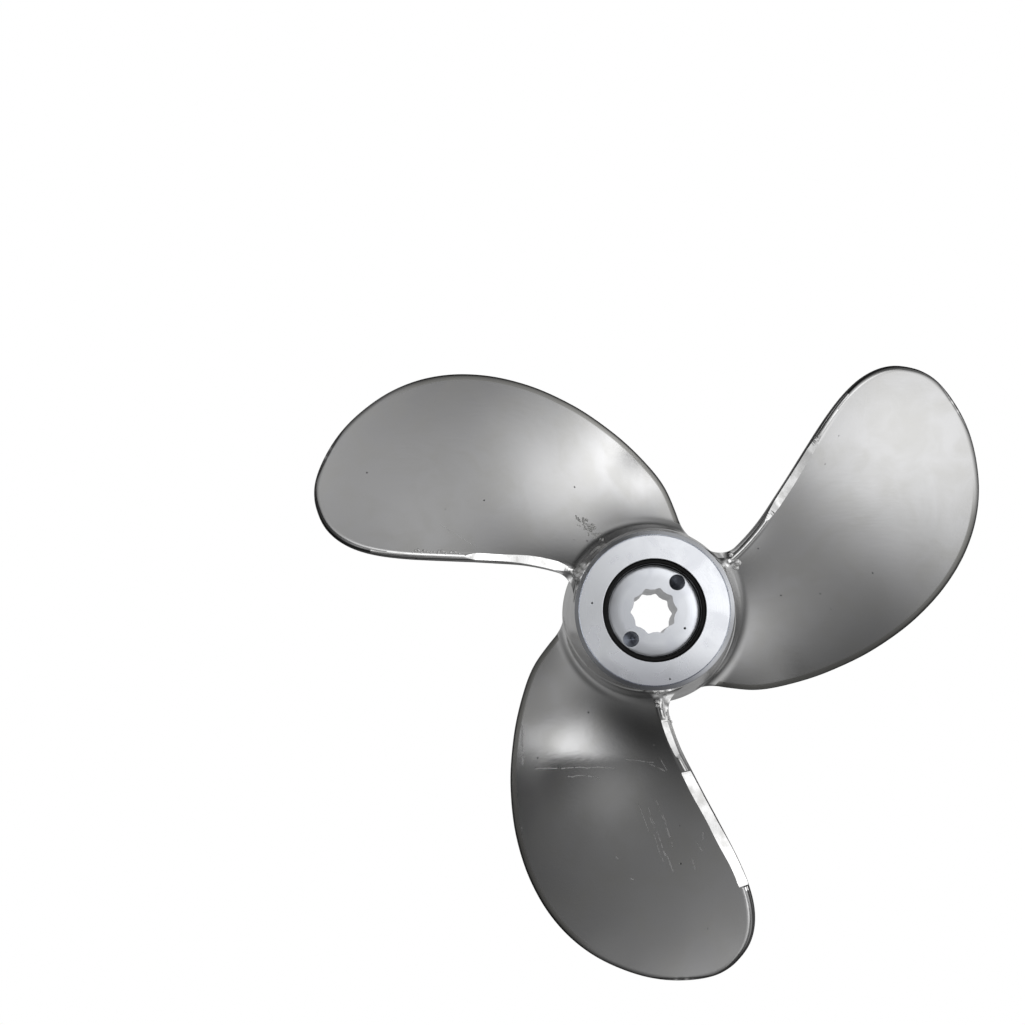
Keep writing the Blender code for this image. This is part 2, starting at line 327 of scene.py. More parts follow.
def lofted_item(name, rings):
    """A closed solid through rings of equally many points, left for a tree to use."""
    bm = bmesh.new()
    loops = [[bm.verts.new(Vector(point) * MM) for point in ring] for ring in rings]
    count = len(loops[0])
    for inner, outer in zip(loops, loops[1:]):
        for i in range(count):
            j = (i + 1) % count
            bm.faces.new((inner[i], inner[j], outer[j], outer[i]))
    bm.faces.new(loops[0])
    bm.faces.new(loops[-1])
    bmesh.ops.recalc_face_normals(bm, faces=bm.faces)
    mesh = bpy.data.meshes.new(name)
    bm.to_mesh(mesh)
    bm.free()
    item = bpy.data.objects.new(name, mesh)
    bpy.context.scene.collection.objects.link(item)
    return item


def loft_blade():
    """The blade at angle 0, from just inside the barrel out to its rounded tip."""
    rings = [blade_ring(-ROOT_SINK, 0.0)]
    for i in range(FILLET_STATIONS + 1):
        bend = math.radians(90 * i / FILLET_STATIONS)
        rings.append(blade_ring(BACK_FILLET * (1 - math.cos(bend)), 0.0))
    for i in range(1, SPAN_STATIONS + 1):
        bend = math.radians(TIP_CLOSING_BEND * i / SPAN_STATIONS)
        rings.append(blade_ring(BACK_FILLET, math.sin(bend)))
    return lofted_item("blade_pattern", rings)


def grinding_cut(number, first_radius, last_radius, width, taper):
    """What the grinder takes off a trailing edge: it leaves a flat that faces straight aft."""
    sections = []
    spin = Matrix.Rotation(math.radians(-360 / BLADE_COUNT * number), 3, "Y")
    for radius in np.linspace(first_radius, last_radius, STRIP_STATIONS):
        slope = math.atan2(BLADE_PITCH, 2 * math.pi * radius)
        steeper = 1 + STRIP_STEEPER * min(max((radius - STRIP_STEEPER_FROM) / 12, 0.0), 1.0)
        ends = min(radius - first_radius, last_radius - radius) / taper
        wander = 1 + STRIP_WANDER * math.sin(radius / 3) * math.sin(radius / 8)
        reach = width * wander * min(0.25 + 0.75 * ends, 1.0)
        corners = np.array([
            (-reach, 0.0),
            (STRIP_CLEARANCE, (reach + STRIP_CLEARANCE) * math.tan(slope) * steeper),
            (STRIP_CLEARANCE, -STRIP_CLEARANCE),
            (-reach, -STRIP_CLEARANCE),
        ])
        angle = blade_edges(radius)[1] + np.degrees(corners[:, 0] * math.cos(slope) / radius)
        ring = on_blade(np.full(len(corners), radius), angle, corners[:, 1])
        sections.append([spin @ Vector(point) for point in ring])
    return lofted_item("grinding_cut", sections)


def rounded_outline(corners, steps=4):
    """A closed outline with each corner, given as (radius, y, rounding), turned into an arc."""
    places = [Vector((corner[0], corner[1])) for corner in corners]
    outline = []
    for k, corner in enumerate(corners):
        here = places[k]
        before = (places[k - 1] - here).normalized()
        after = (places[(k + 1) % len(places)] - here).normalized()
        if corner[2] == 0:
            outline.append(here)
            continue
        half = before.angle(after) / 2
        reach = corner[2] / math.tan(half)
        centre = here + (before + after).normalized() * (corner[2] / math.sin(half))
        first = here + before * reach - centre
        last = here + after * reach - centre
        for i in range(steps + 1):
            arm = first.lerp(last, i / steps).normalized() * corner[2]
            outline.append(centre + arm)
    return [(point.x, point.y) for point in outline]


def turned_mesh(name, outline, steps):
    """Turn a closed (radius, y) outline about the shaft axis."""
    bm = bmesh.new()
    rings = []
    for radius, y in outline:
        ring = []
        for i in range(steps):
            around = 2 * math.pi * i / steps
            ring.append(bm.verts.new(Vector((radius * math.cos(around), y, radius * math.sin(around))) * MM))
        rings.append(ring)
    for k, ring in enumerate(rings):
        following = rings[(k + 1) % len(rings)]
        for i in range(steps):
            j = (i + 1) % steps
            bm.faces.new((ring[i], ring[j], following[j], following[i]))
    bmesh.ops.recalc_face_normals(bm, faces=bm.faces)
    mesh = bpy.data.meshes.new(name)
    bm.to_mesh(mesh)
    bm.free()
    return mesh


def barrel_outline():
    """The hub's section: the aft face is slightly crowned, with a fine groove inside its rim."""
    aft = -HUB_LENGTH
    land_end = aft + HUB_CHAMFER + HUB_LAND
    rim = HUB_AFT_RADIUS - HUB_CHAMFER * 1.1
    groove_y = aft + FACE_CROWN
    corners = [
        (HUB_BORE_RADIUS, aft + 0.02, 0.2),
        (rim - RIM_GROOVE_WIDTH, groove_y, 0.0),
        (rim - RIM_GROOVE_WIDTH * 0.5, groove_y + RIM_GROOVE_DEPTH, 0.0),
        (rim, groove_y - 0.05, 0.0),
        (HUB_AFT_RADIUS, groove_y + RIM_DROP, 0.12),
        (HUB_AFT_RADIUS, land_end, 0.2),
        (barrel_radius(land_end) - HUB_STEP, land_end + HUB_STEP, 0.25),
        *[(barrel_radius(y) - HUB_STEP * y / (land_end + HUB_STEP), y, 0.0) for y in BARREL_RINGS],
        (HUB_FORWARD_RADIUS, -HUB_CHAMFER, 0.8),
        (HUB_FORWARD_RADIUS - HUB_CHAMFER, 0.0, 0.3),
        (FORWARD_RECESS_RADIUS, 0.0, 0.3),
        (FORWARD_RECESS_RADIUS, -FORWARD_RECESS_DEPTH, 0.3),
        (HUB_BORE_RADIUS, -FORWARD_RECESS_DEPTH, 0.3),
    ]
    return rounded_outline(corners)


def copies_round_axis_tree(name, operation, material):
    """Geometry Nodes: one item copied round the shaft axis, then joined to the base or cut out."""
    tree = bpy.data.node_groups.new(name, "GeometryNodeTree")
    tree.interface.new_socket("Base", in_out="INPUT", socket_type="NodeSocketGeometry")
    tree.interface.new_socket("Item", in_out="INPUT", socket_type="NodeSocketObject")
    tree.interface.new_socket("Copies", in_out="INPUT", socket_type="NodeSocketInt")
    tree.interface.new_socket("Result", in_out="OUTPUT", socket_type="NodeSocketGeometry")
    nodes = tree.nodes
    links = tree.links
    given = nodes.new("NodeGroupInput")
    result = nodes.new("NodeGroupOutput")
    item = nodes.new("GeometryNodeObjectInfo")
    points = nodes.new("GeometryNodeMeshLine")
    points.inputs["Offset"].default_value = (0.0, 0.0, 0.0)
    index = nodes.new("GeometryNodeInputIndex")
    share = nodes.new("ShaderNodeMath")
    share.operation = "DIVIDE"
    turn = nodes.new("ShaderNodeMath")
    turn.operation = "MULTIPLY"
    turn.inputs[1].default_value = -2 * math.pi
    angles = nodes.new("ShaderNodeCombineXYZ")
    copies = nodes.new("GeometryNodeInstanceOnPoints")
    realize = nodes.new("GeometryNodeRealizeInstances")
    solid = nodes.new("GeometryNodeMeshBoolean")
    solid.operation = operation
    solid.solver = "EXACT"
    finish = nodes.new("GeometryNodeSetMaterial")
    finish.inputs["Material"].default_value = material
    links.new(given.outputs["Item"], item.inputs["Object"])
    links.new(given.outputs["Copies"], points.inputs["Count"])
    links.new(index.outputs["Index"], share.inputs[0])
    links.new(given.outputs["Copies"], share.inputs[1])
    links.new(share.outputs[0], turn.inputs[0])
    links.new(turn.outputs[0], angles.inputs["Y"])
    links.new(points.outputs["Mesh"], copies.inputs["Points"])
    links.new(item.outputs["Geometry"], copies.inputs["Instance"])
    links.new(angles.outputs["Vector"], copies.inputs["Rotation"])
    links.new(copies.outputs["Instances"], realize.inputs["Geometry"])
    links.new(given.outputs["Base"], solid.inputs["Mesh 2" if operation == "UNION" else "Mesh 1"])
    links.new(realize.outputs["Geometry"], solid.inputs["Mesh 2"])
    links.new(solid.outputs["Mesh"], finish.inputs["Geometry"])
    links.new(finish.outputs["Geometry"], result.inputs["Result"])
    return tree


def set_tree_input(modifier, name, value):
    for socket in modifier.node_group.interface.items_tree:
        if socket.name == name and socket.in_out == "INPUT":
            modifier[socket.identifier] = value


def add_copies(piece, item, copies, operation, material):
    """Join copies of the item to the piece, or cut them out of it, round the shaft axis."""
    modifier = piece.modifiers.new(item.name, "NODES")
    modifier.node_group = copies_round_axis_tree(item.name, operation, material)
    set_tree_input(modifier, "Item", item)
    set_tree_input(modifier, "Copies", copies)


def keep_evaluated(piece, used):
    """Turn what the modifiers give into the piece's own plain mesh."""
    graph = bpy.context.evaluated_depsgraph_get()
    piece.data = bpy.data.meshes.new_from_object(piece.evaluated_get(graph))
    piece.modifiers.clear()
    for item in used:
        bpy.data.objects.remove(item, do_unlink=True)


def new_piece(name, mesh):
    piece = bpy.data.objects.new(name, mesh)
    bpy.context.scene.collection.objects.link(piece)
    return piece


def seen_from_aft(radius, angle):
    return np.stack([radius * np.cos(np.radians(angle)), radius * np.sin(np.radians(angle))], 1)


def outline_finder(edge):
    """A finder for the nearest point of the leading (0) or the trailing (1) edges, seen from aft."""
    radius = np.linspace(HUB_AFT_RADIUS, BLADE_TIP_RADIUS - 0.001, OUTLINE_POINTS)
    angle = blade_edges(radius)[edge]
    finder = kdtree.KDTree(OUTLINE_POINTS * BLADE_COUNT)
    for number in range(BLADE_COUNT):
        turned = seen_from_aft(radius, angle + 360 / BLADE_COUNT * number)
        for i, (x, z) in enumerate(turned):
            finder.insert((x, 0.0, z), number * OUTLINE_POINTS + i)
    finder.balance()
    return finder


def store_edge_distance(mesh):
    """Keep on every vertex how far it lies from the leading and from the trailing edge."""
    for name, edge in (("leading", 0), ("trailing", 1)):
        finder = outline_finder(edge)
        kept = mesh.attributes.new(name, "FLOAT", "POINT")
        for vertex in mesh.vertices:
            place = vertex.co / MM
            from_barrel = math.hypot(place.x, place.z) - barrel_radius(place.y)
            if from_barrel > ROOT_BAND:
                kept.data[vertex.index].value = finder.find((place.x, 0.0, place.z))[2]
            else:
                kept.data[vertex.index].value = FAR_FROM_EDGE


def behind_face(place):
    """How far forward of the blades' aft faces a place lies, measured across the blade."""
    radius = math.hypot(place.x, place.z)
    slope = math.atan2(BLADE_PITCH, 2 * math.pi * radius)
    angle = math.degrees(math.atan2(place.z, place.x))
    across = (place.y - helix_y(angle)) % (BLADE_PITCH / BLADE_COUNT)
    return across * math.cos(slope)


def is_ground(polygon, trailing):
    """True on the flats that the grinding cuts leave."""
    place = polygon.center / MM
    near = max(trailing[i].value for i in polygon.vertices) < STRIP_REACH
    inside = math.hypot(place.x, place.z) < STRIP_OUTERMOST
    return near and inside and polygon.normal.y < STRIP_FACING and behind_face(place) > STRIP_DEPTH


def connect(tree, value, socket):
    """Give a socket a number or a colour, or another node's output."""
    if isinstance(value, bpy.types.NodeSocket):
        tree.links.new(value, socket)
    else:
        socket.default_value = value


def add_math(tree, operation, first, second=0.0):
    node = tree.nodes.new("ShaderNodeMath")
    node.operation = operation
    connect(tree, first, node.inputs[0])
    connect(tree, second, node.inputs[1])
    return node.outputs[0]


def add_all(tree, values):
    total = values[0]
    for value in values[1:]:
        total = add_math(tree, "ADD", total, value)
    return total


def add_vector_math(tree, operation, first, second=(0.0, 0.0, 0.0)):
    node = tree.nodes.new("ShaderNodeVectorMath")
    node.operation = operation
    connect(tree, first, node.inputs[0])
    connect(tree, second, node.inputs[1])
    return node


def place_in_mm(tree):
    """Where a point lies on the propeller, in millimetres."""
    place = tree.nodes.new("ShaderNodeTexCoord").outputs["Object"]
    return add_vector_math(tree, "MULTIPLY", place, (1 / MM, 1 / MM, 1 / MM)).outputs["Vector"]


def shaft_distance(tree, place):
    flat = add_vector_math(tree, "MULTIPLY", place, (1.0, 0.0, 1.0)).outputs["Vector"]
    return add_vector_math(tree, "LENGTH", flat).outputs["Value"]


def ramp(tree, value, start, end, low=0.0, high=1.0):
    """Even change from low to high while the value goes from start to end."""
    node = tree.nodes.new("ShaderNodeMapRange")
    node.interpolation_type = "SMOOTHSTEP"
    connect(tree, value, node.inputs["Value"])
    for socket, limit in zip(("From Min", "From Max", "To Min", "To Max"), (start, end, low, high)):
        connect(tree, limit, node.inputs[socket])
    return node.outputs["Result"]


def cloud(tree, place, size, detail=2.0, distortion=0.0):
    """Random blotches about this many millimetres across, as a value round a half."""
    noise = tree.nodes.new("ShaderNodeTexNoise")
    noise.inputs["Scale"].default_value = 1 / size
    noise.inputs["Detail"].default_value = detail
    noise.inputs["Distortion"].default_value = distortion
    connect(tree, place, noise.inputs["Vector"])
    return noise.outputs["Fac"]


def rings(tree, place, spacing, detail=2.0):
    """Random fine rings round the shaft axis, as a turning tool leaves them."""
    noise = tree.nodes.new("ShaderNodeTexNoise")
    noise.noise_dimensions = "1D"
    noise.inputs["Scale"].default_value = 1 / spacing
    noise.inputs["Detail"].default_value = detail
    connect(tree, shaft_distance(tree, place), noise.inputs["W"])
    return noise.outputs["Fac"]


def blend_color(tree, share, first, second):
    node = tree.nodes.new("ShaderNodeMix")
    node.data_type = "RGBA"
    connect(tree, share, node.inputs["Factor"])
    connect(tree, first, node.inputs["A"])
    connect(tree, second, node.inputs["B"])
    return node.outputs["Result"]


def relief(tree, height, shader):
    """Fine relief from a height in millimetres."""
    bump = tree.nodes.new("ShaderNodeBump")
    bump.inputs["Distance"].default_value = MM
    connect(tree, height, bump.inputs["Height"])
    connect(tree, bump.outputs["Normal"], shader.inputs["Normal"])


def start_metal(name):
    material = bpy.data.materials.new(name)
    material.use_nodes = True
    shader = material.node_tree.nodes["Principled BSDF"]
    shader.inputs["Metallic"].default_value = 1.0
    return material, material.node_tree, shader


def scratch_group():
    """One scratch: how near a point lies, seen from aft, to the line between two places."""
    group = bpy.data.node_groups.new("scratch", "ShaderNodeTree")
    for name in ("Place", "Start", "End"):
        group.interface.new_socket(name, in_out="INPUT", socket_type="NodeSocketVector")
    group.interface.new_socket("Half Width", in_out="INPUT", socket_type="NodeSocketFloat")
    group.interface.new_socket("Mark", in_out="OUTPUT", socket_type="NodeSocketFloat")
    given = group.nodes.new("NodeGroupInput").outputs
    along = add_vector_math(group, "SUBTRACT", given["End"], given["Start"]).outputs["Vector"]
    arm = add_vector_math(group, "SUBTRACT", given["Place"], given["Start"]).outputs["Vector"]
    reach = add_vector_math(group, "DOT_PRODUCT", arm, along).outputs["Value"]
    whole = add_vector_math(group, "DOT_PRODUCT", along, along).outputs["Value"]
    share = add_math(group, "DIVIDE", reach, whole)
    share = add_math(group, "MINIMUM", add_math(group, "MAXIMUM", share, 0.0), 1.0)
    step = group.nodes.new("ShaderNodeVectorMath")
    step.operation = "SCALE"
    connect(group, along, step.inputs[0])
    connect(group, share, step.inputs["Scale"])
    off = add_vector_math(group, "SUBTRACT", arm, step.outputs["Vector"]).outputs["Vector"]
    distance = add_vector_math(group, "LENGTH", off).outputs["Value"]
    result = group.nodes.new("NodeGroupOutput")
    mark = add_math(group, "SUBTRACT", 1.0, ramp(group, distance, 0.0, given["Half Width"]))
    connect(group, mark, result.inputs["Mark"])
    return group


def scratch_marks(tree, place):
    """All the scratches together, each slightly unsteady like a line drawn by hand."""
    flat = add_vector_math(tree, "MULTIPLY", place, (1.0, 0.0, 1.0)).outputs["Vector"]
    noise = tree.nodes.new("ShaderNodeTexNoise")
    noise.inputs["Scale"].default_value = 1 / SCRATCH_WOBBLE_SIZE
    connect(tree, place, noise.inputs["Vector"])
    wobble = add_vector_math(tree, "MULTIPLY", noise.outputs["Color"], (SCRATCH_WOBBLE, 0.0, SCRATCH_WOBBLE))
    unsteady = add_vector_math(tree, "ADD", flat, wobble.outputs["Vector"]).outputs["Vector"]
    group = scratch_group()
    total = 0.0
    for x, z, to_x, to_z, half_width in SCRATCHES:
        scratch = tree.nodes.new("ShaderNodeGroup")
        scratch.node_tree = group
        scratch.inputs["Start"].default_value = (x, 0.0, z)
        scratch.inputs["End"].default_value = (to_x, 0.0, to_z)
        scratch.inputs["Half Width"].default_value = half_width
        connect(tree, unsteady, scratch.inputs["Place"])
        total = add_math(tree, "MAXIMUM", scratch.outputs["Mark"], total)
    return total


def facing_aft(tree):
    """One where the surface looks aft, none where it looks sideways or forward."""
    normal = tree.nodes.new("ShaderNodeTexCoord").outputs["Normal"]
    parts = tree.nodes.new("ShaderNodeSeparateXYZ")
    connect(tree, normal, parts.inputs["Vector"])
    return ramp(tree, parts.outputs["Y"], -0.25, -0.45)


def stored(tree, name):
    node = tree.nodes.new("ShaderNodeAttribute")
    node.attribute_name = name
    return node.outputs["Fac"]


def pits(tree, place, spacing, size):
    """Small round pores, left at random by the sand."""
    cells = tree.nodes.new("ShaderNodeTexVoronoi")
    cells.inputs["Scale"].default_value = 1 / spacing
    connect(tree, place, cells.inputs["Vector"])
    parts = tree.nodes.new("ShaderNodeSeparateColor")
    connect(tree, cells.outputs["Color"], parts.inputs["Color"])
    chosen = ramp(tree, parts.outputs["Red"], PIT_CHOICE, PIT_CHOICE + 0.02)
    near = ramp(tree, cells.outputs["Distance"], size, size * 0.4)
    return add_math(tree, "MULTIPLY", chosen, near)


def cast_material():
    """Blasted cast aluminium, brushed by hand: soft waves, fine grain, pores and scratches, with painted shade
    along the blades' edges and in the pores.
    """
    material, tree, shader = start_metal("brushed_casting")
    place = place_in_mm(tree)
    waves = cloud(tree, place, CAST_WAVE_SIZE, 1.0)
    blotches = cloud(tree, place, CAST_BLOTCH_SIZE, 4.0, 0.6)
    grain = cloud(tree, place, CAST_GRAIN_SIZE, 3.0)
    drawn = add_vector_math(tree, "MULTIPLY", place, BRUSH_STRETCH).outputs["Vector"]
    brushing = cloud(tree, drawn, BRUSH_SIZE, 3.0)
    pores = pits(tree, place, PIT_SPACING, PIT_SIZE)
    broken = ramp(tree, cloud(tree, place, SCRATCH_BREAK_SIZE, 2.0), 0.38, 0.52)
    marks = add_math(tree, "MULTIPLY", scratch_marks(tree, place), facing_aft(tree))
    marks = add_math(tree, "MULTIPLY", marks, broken)
    leading = stored(tree, "leading")
    inboard = ramp(tree, shaft_distance(tree, place), NOSE_END + 5, NOSE_END)
    band = add_math(tree, "MULTIPLY", ramp(tree, leading, NOSE_BAND + 0.3, NOSE_BAND - 0.2), inboard)
    # Painted shade: the blades darken towards their leading and trailing edges
    nearest_edge = add_math(tree, "MINIMUM", leading, stored(tree, "trailing"))
    outline = ramp(tree, nearest_edge, EDGE_SHADE_BAND, 0.15)
    tone = blend_color(tree, ramp(tree, blotches, 0.35, 0.75), CAST_COLOR, CAST_STAIN)
    tone = blend_color(tree, add_math(tree, "MULTIPLY", band, 0.75), tone, NOSE_COLOR)
    tone = blend_color(tree, add_math(tree, "MULTIPLY", outline, 0.92), tone, PAINTED_SHADE_COLOR)
    # Painted shade: the pores are filled with near black
    tone = blend_color(tree, pores, tone, PAINTED_SHADE_COLOR)
    tone = blend_color(tree, marks, tone, FRESH_METAL_COLOR)
    connect(tree, tone, shader.inputs["Base Color"])
    polish = ramp(tree, blotches, 0.3, 0.7, CAST_ROUGHNESS - 0.015, CAST_ROUGHNESS + 0.015)
    buffed = add_vector_math(tree, "DISTANCE", place, BUFFED_PLACE).outputs["Value"]
    polish = add_math(tree, "MULTIPLY", polish, ramp(tree, buffed, BUFFED_REACH * 0.7, BUFFED_REACH, 0.55, 1.0))
    polish = add_math(tree, "ADD", polish, add_math(tree, "MULTIPLY", marks, SCRATCH_ROUGHNESS))
    dulled = add_math(tree, "MULTIPLY_ADD", band, 0.12)
    connect(tree, polish, dulled.node.inputs[2])
    connect(tree, dulled, shader.inputs["Roughness"])
    height = add_all(tree, [
        add_math(tree, "MULTIPLY", waves, CAST_WAVE_HEIGHT),
        add_math(tree, "MULTIPLY", blotches, CAST_BLOTCH_HEIGHT),
        add_math(tree, "MULTIPLY", grain, CAST_GRAIN_HEIGHT),
        add_math(tree, "MULTIPLY", brushing, BRUSH_HEIGHT),
        add_math(tree, "MULTIPLY", pores, -PIT_DEPTH),
        add_math(tree, "MULTIPLY", marks, -SCRATCH_DEPTH),
    ])
    relief(tree, height, shader)
    return material


def painted_shade_below(tree, place, blotches):
    """Painted shade: the hub's face is made darker towards its lower part, with an uneven boundary."""
    parts = tree.nodes.new("ShaderNodeSeparateXYZ")
    connect(tree, place, parts.inputs["Vector"])
    uneven = add_math(tree, "MULTIPLY", blotches, LOWER_SHADE_UNEVEN)
    return ramp(tree, add_math(tree, "ADD", parts.outputs["Z"], uneven), LOWER_SHADE_TOP, LOWER_SHADE_BOTTOM)


def turned_material(name, color, stain, roughness, ring_height, dull=0.0):
    """Metal turned on a lathe: fine rings round the axis, a few dull stains and small nicks filled with painted
    shade; where asked, painted shade darkens the lower part.
    """
    material, tree, shader = start_metal(name)
    place = place_in_mm(tree)
    blotches = cloud(tree, place, TURNED_BLOTCH_SIZE, 4.0, 0.8)
    grooves = rings(tree, place, TURNED_RING_SPACING)
    pores = pits(tree, place, TURNED_NICK_SPACING, PIT_SIZE)
    tone = blend_color(tree, ramp(tree, blotches, 0.4, 0.75), color, stain)
    # Painted shade: dull is how strongly the lower part is darkened
    if dull:
        lower_shade = add_math(tree, "MULTIPLY", painted_shade_below(tree, place, blotches), dull)
        tone = blend_color(tree, lower_shade, tone, LOWER_SHADE_COLOR)
    # Painted shade: the nicks are filled with near black
    tone = blend_color(tree, pores, tone, PAINTED_SHADE_COLOR)
    connect(tree, tone, shader.inputs["Base Color"])
    polish = ramp(tree, blotches, 0.3, 0.7, roughness - 0.03, roughness + 0.03)
    connect(tree, polish, shader.inputs["Roughness"])
    height = add_all(tree, [
        add_math(tree, "MULTIPLY", grooves, ring_height),
        add_math(tree, "MULTIPLY", pores, -PIT_DEPTH),
        add_math(tree, "MULTIPLY", cloud(tree, place, CAST_GRAIN_SIZE), TURNED_GRAIN_HEIGHT),
    ])
    relief(tree, height, shader)
    return material


def ground_material():
    """Bare metal fresh from the grinder: bright, with short grinding lines across the strip."""
    material, tree, shader = start_metal("ground_edge")
    place = place_in_mm(tree)
    drawn = add_vector_math(tree, "MULTIPLY", place, GRIND_STRETCH).outputs["Vector"]
    lines = cloud(tree, drawn, GRIND_SIZE, 3.0)
    smears = cloud(tree, place, CAST_BLOTCH_SIZE / 4, 3.0)
    tone = blend_color(tree, ramp(tree, smears, 0.45, 0.75), FRESH_METAL_COLOR, CAST_STAIN)
    connect(tree, tone, shader.inputs["Base Color"])
    connect(tree, ramp(tree, smears, 0.3, 0.7, 0.14, 0.24), shader.inputs["Roughness"])
    relief(tree, add_math(tree, "MULTIPLY", lines, GRIND_HEIGHT), shader)
    return material


cast_finish = cast_material()
# The last number is how strongly painted shade darkens the lower part of the hub's face
turned_finish = turned_material("turned_casting", TURNED_COLOR, TURNED_STAIN, 0.26, TURNED_RING_HEIGHT, 0.8)
ground_finish = ground_material()
blade_pattern = loft_blade()
casting = new_piece("cast_propeller", turned_mesh("barrel", barrel_outline(), BARREL_STEPS))
add_copies(casting, blade_pattern, BLADE_COUNT, "UNION", cast_finish)
cuts = [grinding_cut(*strip) for strip in GROUND_STRIPS]
for cut in cuts:
    add_copies(casting, cut, 1, "DIFFERENCE", cast_finish)
keep_evaluated(casting, [blade_pattern, *cuts])
store_edge_distance(casting.data)
casting.data.materials.append(turned_finish)
casting.data.materials.append(ground_finish)
trailing_distance = casting.data.attributes["trailing"].data
for polygon in casting.data.polygons:
    centre = polygon.center / MM
    reach = math.hypot(centre.x, centre.z)
    aft_rim = centre.y < -HUB_LENGTH + HUB_CHAMFER + HUB_LAND and reach < HUB_AFT_RADIUS + 0.01
    forward_end = centre.y > -HUB_CHAMFER and reach < HUB_FORWARD_RADIUS
    if aft_rim or forward_end or reach < HUB_BORE_RADIUS + 0.01:
        polygon.material_index = 1
    elif is_ground(polygon, trailing_distance):
        polygon.material_index = 2
casting.data.shade_smooth()
casting.data.set_sharp_from_angle(angle=math.radians(CASTING_SHARP_ANGLE))
casting.modifiers.new("even_shading", "WEIGHTED_NORMAL").keep_sharp = True
keep_evaluated(casting, [])
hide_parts("propeller_casting")
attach(casting, "root")

# Flaws of the casting and of its dressing by hand: crumbs of metal along two trailing edges,
# lumps where the blades meet the hub, and a rough patch that the sand left by the left root.
FLAW_ROUGHNESS = 0.5
ROUGH_PATCH_COLOR = (0.72, 0.72, 0.71, 1.0)
GRAIN_DENT = 0.22
# Name, places it follows, how many, spread, smallest and largest radius, bright or dull
FLAWS = (
    ("left_edge_crumbs", ((-62.5, -52.2, 15.0), (-50.6, -51.1, 14.4)), 22, 0.40, 0.18, 0.42, True),
    ("bottom_edge_burrs", ((0.3, -45.3, -23.5), (2.6, -45.5, -26.1), (4.4, -46.0, -29.2)), 16, 0.5, 0.2, 0.5, True),
    ("right_root_lumps", ((20.3, -45.1, 14.6), (21.9, -44.8, 12.8), (21.4, -43.8, 11.3)), 4, 0.3, 0.6, 0.9, True),
    ("left_root_lumps", ((-18.0, -46.2, 11.2), (-19.0, -45.8, 8.8)), 3, 0.3, 1.1, 1.5, True),
    ("left_rough_patch", ((-19.0, -34.1, 23.8), (-14.6, -33.4, 20.6)), 70, 2.2, 0.12, 0.42, False),
)


def grain_mesh():
    """One crumb, a small dented ball of metal a millimetre in radius."""
    bm = bmesh.new()
    bmesh.ops.create_icosphere(bm, subdivisions=2, radius=MM)
    for vertex in bm.verts:
        place = vertex.co / MM
        dent = math.sin(place.x * 4 + 1) * math.sin(place.y * 3 + 2) * math.sin(place.z * 5)
        vertex.co *= 1 + GRAIN_DENT * dent
    mesh = bpy.data.meshes.new("grain")
    bm.to_mesh(mesh)
    bm.free()
    return mesh


def path_mesh(name, places):
    mesh = bpy.data.meshes.new(name)
    edges = [(i, i + 1) for i in range(len(places) - 1)]
    mesh.from_pydata([Vector(place) * MM for place in places], edges, [])
    return mesh


def random_vector(tree, low, high, seed):
    node = tree.nodes.new("FunctionNodeRandomValue")
    node.data_type = "FLOAT_VECTOR"
    connect(tree, low, node.inputs[0])
    connect(tree, high, node.inputs[1])
    connect(tree, seed, node.inputs["Seed"])
    return node.outputs[0]


